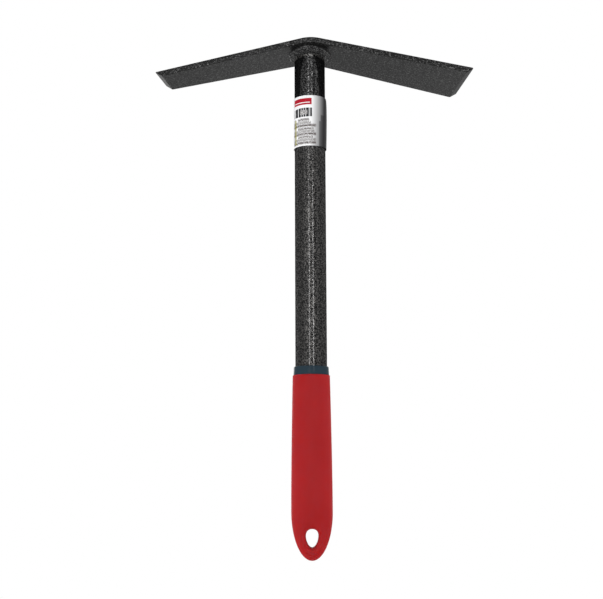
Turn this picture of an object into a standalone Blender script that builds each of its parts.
# Short hand mattock: a bent steel plate with two bevelled blades, welded to a painted
# steel tube that carries a moulded two-part grip.
# Metres, +Z up. The origin is on the handle axis at the underside of the plate, where the
# handle meets it. The handle runs down -Z, and the wide blade points to +X.

from math import cos, pi, radians, sin, sqrt, tan

import bmesh
import bpy
from mathutils import Vector

# Clearance between nested or touching pieces
FIT_GAP = 0.0003

# Head plate: thickness, bend over the handle and slope of each arm
PLATE_THICKNESS = 0.0040
BEND_INNER_RADIUS = 0.0260
NARROW_ARM_SLOPE = radians(12.2)
WIDE_ARM_SLOPE = radians(13.1)

# Reach is level, from the handle axis to the front corner of each cutting edge
NARROW_REACH = 0.1108
WIDE_REACH = 0.1154
CROWN_WIDTH = 0.0436
NARROW_EDGE_WIDTH = 0.0301
WIDE_EDGE_WIDTH = 0.0564

# The back corner of each edge lies this much nearer to the handle than the front one
NARROW_EDGE_SKEW = 0.0041
WIDE_EDGE_SKEW = 0.0045
NARROW_CORNER_RADIUS = 0.0006
WIDE_CORNER_RADIUS = 0.0015
EDGE_BEVEL_LENGTH = 0.0038
EDGE_LAND = 0.0005

# Handle tube
TUBE_DIAMETER = 0.0222
TUBE_WALL = 0.0012
TUBE_INSERTION = 0.0790

# Fillet weld: its legs along the tube and out along the plate
WELD_TUBE_LEG = 0.0045
WELD_PLATE_LEG = 0.0046
WELD_TOE_THICKNESS = 0.0003
WELD_HOLLOW = 0.0005
WELD_SADDLE_SHARE = 0.45

# Label wrapped round the tube, its ends overlapping at the back
LABEL_TOP_DEPTH = 0.0357
LABEL_HEIGHT = 0.0373
LABEL_THICKNESS = 0.0003
LABEL_OVERLAP_START = radians(60)
LABEL_OVERLAP_END = radians(105)
LABEL_EDGE_TURN = radians(0.5)

# Hard core of the grip: collar above the soft skin, sleeve and tongue under it
GRIP_TOP_DEPTH = 0.2302
COLLAR_HEIGHT = 0.0060
COLLAR_TOP_RADIUS = 0.01227
COLLAR_BOTTOM_RADIUS = 0.0125
COLLAR_ROUNDING = 0.0008
CORE_WALL = 0.0006

# Soft skin of the grip: it swells downwards to the nose
SKIN_TOP_RADIUS = 0.01305
SKIN_TOP_ROUNDING = 0.0005
GRIP_RADIUS = 0.0143
SWELL_LENGTH = 0.0876
SWELL_POWER = 1.5
STRAIGHT_LENGTH = 0.0052
NOSE_LENGTH = 0.0329

# Side view of the nose: it thins to a tongue and rounds off at the tip
TONGUE_HALF_THICKNESS = 0.0078
TONGUE_BLEND_LEAD = 0.0085
TONGUE_BLEND_LENGTH = 0.0300
TIP_ROUNDING = 0.0105
TONGUE_SQUARENESS = 0.5

# Hang hole through the tongue: egg-shaped, with a flared mouth at each face
HOLE_HALF_WIDTH = 0.0043
HOLE_UPPER_HEIGHT = 0.0048
HOLE_LOWER_HEIGHT = 0.0079
HOLE_UPPER_FULLNESS = 2.26
HOLE_LOWER_FULLNESS = 1.83
HOLE_DEPTH_IN_NOSE = 0.0162
HOLE_LINING = 0.0014
MOUTH_START = 0.0022
MOUTH_LENGTH = 0.0050
MOUTH_FLARE = 0.0022

# Smooth scoop round the hole, on both faces
SCOOP_DEPTH = 0.0026
SCOOP_HALF_WIDTH = 0.0092
SCOOP_HALF_LENGTH = 0.0150
SCOOP_DROP = 0.0010
SCOOP_LEAST_LEFT = 0.25

# Facet counts, and how far a cutter runs past what it cuts
BEND_STEPS = 8
CORNER_STEPS = 4
TUBE_SEGMENTS = 48
WELD_FACE_STEPS = 4
GRIP_SEGMENTS = 48
SWELL_STEPS = 8
NOSE_LEAD_STEPS = 3
NOSE_STEPS = 16
NOSE_LAST_ANGLE = radians(86)
HOLE_SEGMENTS = 28
MOUTH_STEPS = 5
CUT_MARGIN = 0.004

# Worked out from the sizes above
PLATE_TOP_RADIUS = BEND_INNER_RADIUS + PLATE_THICKNESS
TUBE_RADIUS = TUBE_DIAMETER / 2
BORE_RADIUS = TUBE_RADIUS + FIT_GAP
SLEEVE_RADIUS = BORE_RADIUS + CORE_WALL
COLLAR_TOP_Z = -GRIP_TOP_DEPTH
COLLAR_BOTTOM_Z = COLLAR_TOP_Z - COLLAR_HEIGHT
SKIN_TOP_Z = COLLAR_BOTTOM_Z - FIT_GAP
SWELL_START_Z = SKIN_TOP_Z - SKIN_TOP_ROUNDING
NOSE_START_Z = SWELL_START_Z - SWELL_LENGTH - STRAIGHT_LENGTH
TUBE_BOTTOM_Z = COLLAR_TOP_Z - TUBE_INSERTION
HOLE_Z = NOSE_START_Z - HOLE_DEPTH_IN_NOSE


# Scene helpers

def clear_scene():
    for item in list(bpy.data.objects):
        bpy.data.objects.remove(item, do_unlink=True)


def make_material(name, colour, roughness, metallic=0.0):
    made = bpy.data.materials.new(name)
    made.use_nodes = True
    shader = made.node_tree.nodes["Principled BSDF"]
    shader.inputs["Base Color"].default_value = (*colour, 1.0)
    shader.inputs["Roughness"].default_value = roughness
    shader.inputs["Metallic"].default_value = metallic
    return made


def add_object(name, builder):
    mesh = bpy.data.meshes.new(name)
    bmesh.ops.recalc_face_normals(builder, faces=builder.faces)
    builder.to_mesh(mesh)
    builder.free()
    made = bpy.data.objects.new(name, mesh)
    bpy.context.collection.objects.link(made)
    return made


def add_piece(name, builder, finish, sharp_angle=35):
    piece = add_object(name, builder)
    piece.data.materials.append(finish)
    piece.data.shade_smooth()
    piece.data.set_sharp_from_angle(angle=radians(sharp_angle))
    return piece


def add_cutter(name, builder):
    cutter = add_object(name, builder)
    cutter.hide_render = True
    cutter.display_type = "WIRE"
    return cutter


def boolean(target, cutter, operation="DIFFERENCE"):
    modifier = target.modifiers.new(cutter.name, "BOOLEAN")
    modifier.operation = operation
    modifier.solver = "EXACT"
    modifier.object = cutter


# Shape helpers

def prism(points, along, half_length):
    """A flat outline of 3-D points, extruded to both sides of its plane."""
    builder = bmesh.new()
    reach = Vector(along).normalized() * half_length
    face = builder.faces.new([builder.verts.new(Vector(point) - reach) for point in points])
    grown = bmesh.ops.extrude_face_region(builder, geom=[face])
    moved = [item for item in grown["geom"] if isinstance(item, bmesh.types.BMVert)]
    bmesh.ops.translate(builder, verts=moved, vec=reach * 2)
    return builder


def turned_ring(section, segments):
    """A closed section of (radius, z) points, turned once round the Z axis."""
    builder = bmesh.new()
    corners = [builder.verts.new((radius, 0.0, z)) for radius, z in section]
    edges = [builder.edges.new((corners[i - 1], corners[i])) for i in range(len(corners))]
    bmesh.ops.spin(builder, geom=corners + edges, cent=(0, 0, 0), axis=(0, 0, 1),
                   angle=2 * pi, steps=segments, use_merge=True)
    return builder


def loft(rings, closed=False):
    """A skin over rings of points; it meets itself if closed, and is capped if not."""
    builder = bmesh.new()
    loops = [[builder.verts.new(point) for point in ring] for ring in rings]
    pairs = list(zip(loops, loops[1:]))
    if closed:
        pairs.append((loops[-1], loops[0]))
    else:
        builder.faces.new(loops[0])
        builder.faces.new(loops[-1])
    for upper, lower in pairs:
        for i in range(len(upper)):
            builder.faces.new((upper[i - 1], lower[i - 1], lower[i], upper[i]))
    return builder


def smoothstep(value):
    value = min(max(value, 0.0), 1.0)
    return value * value * (3 - 2 * value)


# Head plate

def arm_slope(x):
    return NARROW_ARM_SLOPE if x < 0 else WIDE_ARM_SLOPE


def plate_height(x, depth):
    """Height at x of the surface that lies this deep below the plate's top face."""
    radius = PLATE_TOP_RADIUS - depth
    slope = arm_slope(x)
    if abs(x) < radius * sin(slope):
        return sqrt(radius ** 2 - x ** 2) - BEND_INNER_RADIUS
    return radius / cos(slope) - abs(x) * tan(slope) - BEND_INNER_RADIUS


def plate_curve(depth, narrow_x, wide_x):
    """Side view of that surface: the bend's arc, and a straight run out to each end."""
    radius = PLATE_TOP_RADIUS - depth
    points = [(narrow_x, plate_height(narrow_x, depth))]
    for step in range(BEND_STEPS + 1):
        angle = (NARROW_ARM_SLOPE + WIDE_ARM_SLOPE) * step / BEND_STEPS - NARROW_ARM_SLOPE
        points.append((radius * sin(angle), radius * cos(angle) - BEND_INNER_RADIUS))
    points.append((wide_x, plate_height(wide_x, depth)))
    return points


def blade_corners(side):
    """Front and back corner of a cutting edge in plan; side is -1 narrow, +1 wide."""
    if side < 0:
        reach, width, skew = NARROW_REACH, NARROW_EDGE_WIDTH, NARROW_EDGE_SKEW
    else:
        reach, width, skew = WIDE_REACH, WIDE_EDGE_WIDTH, WIDE_EDGE_SKEW
    taper = (width - CROWN_WIDTH) / 2 / reach
    front = Vector((side * reach, -width / 2, 0))
    back = Vector((side * (reach - skew), width / 2 - taper * skew, 0))
    return front, back


def rounded(before, corner, after, radius):
    """A corner of an outline, replaced by an arc."""
    inward = (before - corner).normalized()
    onward = (after - corner).normalized()
    half_angle = inward.angle(onward) / 2
    centre = corner + (inward + onward).normalized() * radius / sin(half_angle)
    start = (corner + inward * radius / tan(half_angle) - centre).normalized()
    end = (corner + onward * radius / tan(half_angle) - centre).normalized()
    turns = [start.slerp(end, step / CORNER_STEPS) for step in range(CORNER_STEPS + 1)]
    return [centre + turn * radius for turn in turns]


def plate_outline():
    """Plan of the plate, round its front edge and back."""
    front = Vector((0, -CROWN_WIDTH / 2, 0))
    back = Vector((0, CROWN_WIDTH / 2, 0))
    wide_front, wide_back = blade_corners(1)
    narrow_front, narrow_back = blade_corners(-1)
    outline = [front]
    outline += rounded(front, wide_front, wide_back, WIDE_CORNER_RADIUS)
    outline += rounded(wide_front, wide_back, back, WIDE_CORNER_RADIUS)
    outline.append(back)
    outline += rounded(back, narrow_back, narrow_front, NARROW_CORNER_RADIUS)
    outline += rounded(narrow_back, narrow_front, front, NARROW_CORNER_RADIUS)
    return outline


def bevel_cutter(side):
    """Wedge under a blade: it takes the metal below the ground bevel of the edge."""
    front, back = blade_corners(side)
    front.z = plate_height(front.x, 0)
    back.z = plate_height(back.x, 0)
    along = (back - front).normalized()
    slope = arm_slope(side)
    up = Vector((side * sin(slope), 0, cos(slope)))
    inward = along.cross(up).normalized()
    if inward.x * side > 0:
        inward.negate()
    middle = (front + back) / 2
    edge = middle - up * EDGE_LAND
    heel = middle + inward * EDGE_BEVEL_LENGTH - up * PLATE_THICKNESS
    ground = (heel - edge).normalized()
    outer = edge - ground * CUT_MARGIN
    inner = heel + ground * CUT_MARGIN
    drop = up * (PLATE_THICKNESS + 2 * CUT_MARGIN)
    section = [outer, inner, inner - drop, outer - drop]
    return prism(section, along, (back - front).length / 2 + CUT_MARGIN)


def make_head_plate(finish):
    narrow_x = -NARROW_REACH - CUT_MARGIN
    wide_x = WIDE_REACH + CUT_MARGIN
    top = plate_curve(0, narrow_x, wide_x)
    under = plate_curve(PLATE_THICKNESS, narrow_x, wide_x)
    section = [(x, 0, z) for x, z in top + under[::-1]]
    widest = max(CROWN_WIDTH, NARROW_EDGE_WIDTH, WIDE_EDGE_WIDTH) / 2
    plate = add_piece("head_plate", prism(section, (0, 1, 0), widest + CUT_MARGIN), finish)
    height = PLATE_THICKNESS - min(z for x, z in under)
    boolean(plate, add_cutter("plan_cutter", prism(plate_outline(), (0, 0, 1), height)), "INTERSECT")
    boolean(plate, add_cutter("narrow_bevel_cutter", bevel_cutter(-1)))
    boolean(plate, add_cutter("wide_bevel_cutter", bevel_cutter(1)))


# Handle tube, its weld and its label

def make_cope_cutter():
    """Everything above the plate's underside, less the gap, in reach of the weld."""
    reach = TUBE_RADIUS + WELD_PLATE_LEG + CUT_MARGIN
    curve = plate_curve(PLATE_THICKNESS + FIT_GAP, -reach, reach)
    section = [(x, 0, z) for x, z in curve]
    section += [(reach, 0, 2 * CUT_MARGIN), (-reach, 0, 2 * CUT_MARGIN)]
    return add_cutter("cope_cutter", prism(section, (0, 1, 0), reach))


def make_handle_tube(finish, cope):
    inner = TUBE_RADIUS - TUBE_WALL
    section = [(TUBE_RADIUS, TUBE_BOTTOM_Z), (TUBE_RADIUS, CUT_MARGIN),
               (inner, CUT_MARGIN), (inner, TUBE_BOTTOM_Z)]
    tube = add_piece("handle_tube", turned_ring(section, TUBE_SEGMENTS), finish)
    boolean(tube, cope)


def make_weld_bead(finish, cope):
    """A hollow-faced fillet whose toes follow the bent underside of the plate."""
    inner = TUBE_RADIUS + FIT_GAP
    outer = TUBE_RADIUS + WELD_PLATE_LEG
    toe_z = -FIT_GAP - WELD_TOE_THICKNESS
    section = [(outer, CUT_MARGIN), (inner, CUT_MARGIN)]
    for step in range(WELD_FACE_STEPS + 1):
        share = step / WELD_FACE_STEPS
        hollow = WELD_HOLLOW * sin(pi * share)
        section.append((inner + (outer - inner) * share - hollow,
                        -WELD_TUBE_LEG + (toe_z + WELD_TUBE_LEG) * share + hollow))
    builder = turned_ring(section, TUBE_SEGMENTS)
    for corner in builder.verts:
        out = (corner.co.xy.length - inner) / (outer - inner)
        share = WELD_SADDLE_SHARE + (1 - WELD_SADDLE_SHARE) * out
        corner.co.z += plate_height(corner.co.x, PLATE_THICKNESS) * share
    bead = add_piece("weld_bead", builder, finish)
    boolean(bead, cope)


def make_label_wrap(finish):
    """A film wrapped once round the tube, doubled where its ends overlap."""
    inner = TUBE_RADIUS + FIT_GAP
    single = inner + LABEL_THICKNESS
    double = single + LABEL_THICKNESS
    ramp = 2 * pi / TUBE_SEGMENTS
    lap_start = LABEL_OVERLAP_START + ramp
    lap = LABEL_OVERLAP_END - lap_start
    lap_steps = max(1, round(lap / ramp))
    stops = [(lap_start + lap * step / lap_steps, double) for step in range(lap_steps + 1)]
    bare_start = LABEL_OVERLAP_END + LABEL_EDGE_TURN
    bare = LABEL_OVERLAP_START + 2 * pi - bare_start
    bare_steps = round(bare / ramp)
    stops += [(bare_start + bare * step / bare_steps, single) for step in range(bare_steps + 1)]
    top = -LABEL_TOP_DEPTH
    bottom = top - LABEL_HEIGHT
    rings = []
    for angle, outer in stops:
        section = [(inner, top), (outer, top), (outer, bottom), (inner, bottom)]
        rings.append([(radius * cos(angle), radius * sin(angle), z) for radius, z in section])
    add_piece("label_wrap", loft(rings, closed=True), finish)


# Grip

def skin_radius(z):
    """The soft skin swells from its top edge, quickly at first."""
    share = min(max((SWELL_START_Z - z) / SWELL_LENGTH, 0.0), 1.0)
    return SKIN_TOP_RADIUS + (GRIP_RADIUS - SKIN_TOP_RADIUS) * (1 - (1 - share) ** SWELL_POWER)


def nose_half_depth(z, inset):
    """Half thickness, front to back: a blend down to the tongue and a round tip."""
    blend = smoothstep((NOSE_START_Z + TONGUE_BLEND_LEAD - z) / TONGUE_BLEND_LENGTH)
    half = GRIP_RADIUS + (TONGUE_HALF_THICKNESS - GRIP_RADIUS) * blend - inset
    into_tip = (NOSE_START_Z - NOSE_LENGTH + TIP_ROUNDING - z) / (TIP_ROUNDING - inset)
    return half * sqrt(1 - min(max(into_tip, 0.0), 1.0) ** 2)


def scoop(x, z):
    """Depth of the smooth dish round the hang hole."""
    across = x / SCOOP_HALF_WIDTH
    along = (z - HOLE_Z + SCOOP_DROP) / SCOOP_HALF_LENGTH
    return SCOOP_DEPTH * max(0.0, 1 - across ** 2 - along ** 2) ** 2


def grip_ring(z, half_width, half_depth):
    """One cross-section: an ellipse that grows squarer on the tongue, less the scoop."""
    blend = smoothstep((NOSE_START_Z + TONGUE_BLEND_LEAD - z) / TONGUE_BLEND_LENGTH)
    power = 2 / (2 + TONGUE_SQUARENESS * blend)
    ring = []
    for step in range(GRIP_SEGMENTS):
        angle = 2 * pi * step / GRIP_SEGMENTS
        x = half_width * abs(cos(angle)) ** power * (1 if cos(angle) > 0 else -1)
        y = half_depth * abs(sin(angle)) ** power
        y = max(y - scoop(x, z), y * SCOOP_LEAST_LEFT) * (1 if sin(angle) > 0 else -1)
        ring.append((x, y, z))
    return ring


def nose_rings(radius, lead_radius):
    """Rings from where the tongue starts to thin, down to the tip."""
    inset = GRIP_RADIUS - radius
    rings = []
    for step in range(NOSE_LEAD_STEPS):
        z = NOSE_START_Z + TONGUE_BLEND_LEAD * (1 - step / NOSE_LEAD_STEPS)
        half_width = lead_radius(z)
        rings.append(grip_ring(z, half_width, min(half_width, nose_half_depth(z, inset))))
    for step in range(NOSE_STEPS + 1):
        angle = NOSE_LAST_ANGLE * step / NOSE_STEPS
        z = NOSE_START_Z - (NOSE_LENGTH - inset) * sin(angle)
        rings.append(grip_ring(z, radius * cos(angle), nose_half_depth(z, inset)))
    return rings


def round_ring(z, radius):
    return grip_ring(z, radius, radius)


def hole_ring(y, grow):
    """Egg outline at one depth: full above, longer and more pointed below."""
    ring = []
    for step in range(HOLE_SEGMENTS):
        angle = 2 * pi * step / HOLE_SEGMENTS
        above = sin(angle) > 0
        height = HOLE_UPPER_HEIGHT if above else -HOLE_LOWER_HEIGHT
        power = 2 / (HOLE_UPPER_FULLNESS if above else HOLE_LOWER_FULLNESS)
        x = (HOLE_HALF_WIDTH + grow) * abs(cos(angle)) ** power * (1 if cos(angle) > 0 else -1)
        rise = (height + (grow if above else -grow)) * abs(sin(angle)) ** power
        ring.append((x, y, HOLE_Z + rise))
    return ring


def hang_hole():
    """The open hole: straight in the middle, flared towards each face."""
    rings = []
    for step in range(MOUTH_STEPS + 1):
        turn = pi / 2 * step / MOUTH_STEPS
        rings.append(hole_ring(MOUTH_START + MOUTH_LENGTH * sin(turn), MOUTH_FLARE * (1 - cos(turn))))
    rings.append(hole_ring(GRIP_RADIUS + CUT_MARGIN, MOUTH_FLARE))
    mirrored = [[(x, -y, z) for x, y, z in ring] for ring in reversed(rings)]
    return loft(mirrored + rings)


def straight_hole(grow):
    """The hole without its mouths, grown all round."""
    reach = GRIP_RADIUS + CUT_MARGIN
    return loft([hole_ring(-reach, grow), hole_ring(reach, grow)])


def make_grip_core(finish):
    """Collar, sleeve with the tube's socket, and the hard tongue round the hang hole."""
    rings = [round_ring(COLLAR_TOP_Z, COLLAR_TOP_RADIUS - COLLAR_ROUNDING)]
    for step in range(1, CORNER_STEPS + 1):
        turn = pi / 2 * step / CORNER_STEPS
        rings.append(round_ring(COLLAR_TOP_Z - COLLAR_ROUNDING * (1 - cos(turn)),
                                COLLAR_TOP_RADIUS - COLLAR_ROUNDING * (1 - sin(turn))))
    rings.append(round_ring(COLLAR_BOTTOM_Z, COLLAR_BOTTOM_RADIUS))
    rings.append(round_ring(COLLAR_BOTTOM_Z, SLEEVE_RADIUS))
    rings += nose_rings(SLEEVE_RADIUS, lambda z: SLEEVE_RADIUS)
    core = add_piece("grip_core", loft(rings), finish)
    socket_bottom = TUBE_BOTTOM_Z - FIT_GAP
    socket = [round_ring(COLLAR_TOP_Z + CUT_MARGIN, BORE_RADIUS), round_ring(socket_bottom, BORE_RADIUS)]
    boolean(core, add_cutter("socket_cutter", loft(socket)))
    boolean(core, add_cutter("core_hole_cutter", straight_hole(HOLE_LINING + FIT_GAP)))


def make_grip_overmould(finish):
    """The skin over the core; it also lines the hang hole."""
    rings = [round_ring(SKIN_TOP_Z, SKIN_TOP_RADIUS - SKIN_TOP_ROUNDING)]
    for step in range(SWELL_STEPS):
        z = SWELL_START_Z - (SWELL_START_Z - NOSE_START_Z - TONGUE_BLEND_LEAD) * step / SWELL_STEPS
        rings.append(round_ring(z, skin_radius(z)))
    rings += nose_rings(GRIP_RADIUS, skin_radius)
    skin = add_piece("grip_overmould", loft(rings), finish)
    cavity_radius = SLEEVE_RADIUS + FIT_GAP
    cavity_rings = [round_ring(SKIN_TOP_Z + CUT_MARGIN, cavity_radius)]
    cavity_rings += nose_rings(cavity_radius, lambda z: cavity_radius)
    cavity = add_cutter("cavity_cutter", loft(cavity_rings))
    boolean(cavity, add_cutter("lining_cutter", straight_hole(HOLE_LINING)))
    boolean(skin, cavity)
    boolean(skin, add_cutter("hole_cutter", hang_hole()))


clear_scene()
plate_paint = make_material("plate_paint", (0.052, 0.052, 0.053), 0.6)
tube_paint = make_material("tube_paint", (0.045, 0.045, 0.045), 0.35, 0.5)
weld_paint = make_material("weld_paint", (0.045, 0.045, 0.046), 0.5)
label_film = make_material("label_film", (0.82, 0.82, 0.83), 0.4)
hard_plastic = make_material("hard_plastic", (0.030, 0.048, 0.061), 0.4)
soft_rubber = make_material("soft_rubber", (0.381, 0.022, 0.025), 0.75)

cope_cutter = make_cope_cutter()
make_head_plate(plate_paint)
make_handle_tube(tube_paint, cope_cutter)
make_weld_bead(weld_paint, cope_cutter)
make_label_wrap(label_film)
make_grip_core(hard_plastic)
make_grip_overmould(soft_rubber)
